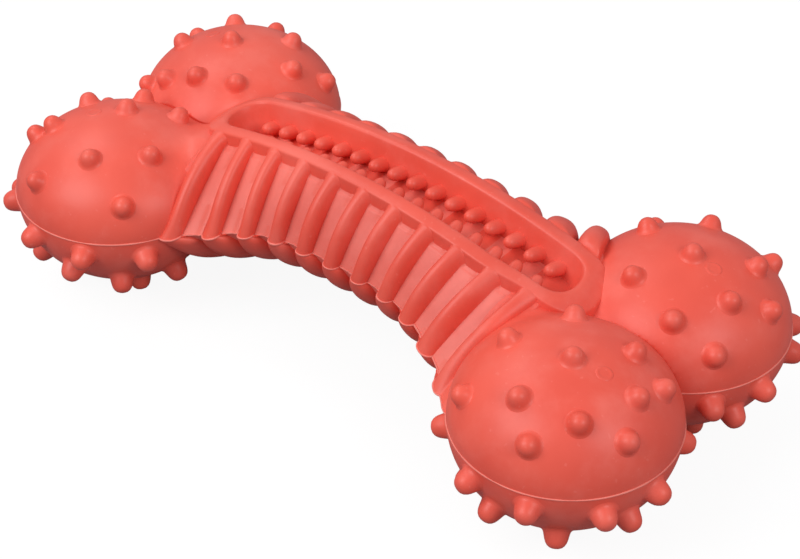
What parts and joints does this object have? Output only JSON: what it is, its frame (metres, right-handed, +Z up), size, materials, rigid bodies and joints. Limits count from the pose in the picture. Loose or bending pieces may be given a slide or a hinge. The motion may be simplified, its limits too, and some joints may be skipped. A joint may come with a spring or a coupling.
{
  "type": "rubber chew toy",
  "caption": "Arched moulded rubber chew bone with nub-covered knobs, ribbed sides and a rimmed trough lined with pegs for cleaning teeth and holding paste or treats.",
  "frame": {"origin": "on the floor under the middle of the bone", "axes": "+X along the bone, +Y across it, +Z up out of the trough's mouth"},
  "size_m": [0.1664, 0.087, 0.0434],
  "materials": {
    "coral_rubber": "satin moulded rubber"
  },
  "bodies": {
    "root": {"shaft_upper": "coral_rubber", "shaft_lower": "coral_rubber", "trough_rim": "coral_rubber", "peg_row_front": "coral_rubber", "peg_row_back": "coral_rubber", "ribs_front_upper": "coral_rubber", "ribs_front_lower": "coral_rubber", "ribs_back_upper": "coral_rubber", "ribs_back_lower": "coral_rubber", "knob_front_right_upper": "coral_rubber", "knob_front_right_lower": "coral_rubber", "nubs_front_right_upper": "coral_rubber", "nubs_front_right_lower": "coral_rubber", "knob_back_right_upper": "coral_rubber", "knob_back_right_lower": "coral_rubber", "nubs_back_right_upper": "coral_rubber", "nubs_back_right_lower": "coral_rubber", "knob_front_left_upper": "coral_rubber", "knob_front_left_lower": "coral_rubber", "nubs_front_left_upper": "coral_rubber", "nubs_front_left_lower": "coral_rubber", "knob_back_left_upper": "coral_rubber", "knob_back_left_lower": "coral_rubber", "nubs_back_left_upper": "coral_rubber", "nubs_back_left_lower": "coral_rubber"}
  },
  "joints": []
}
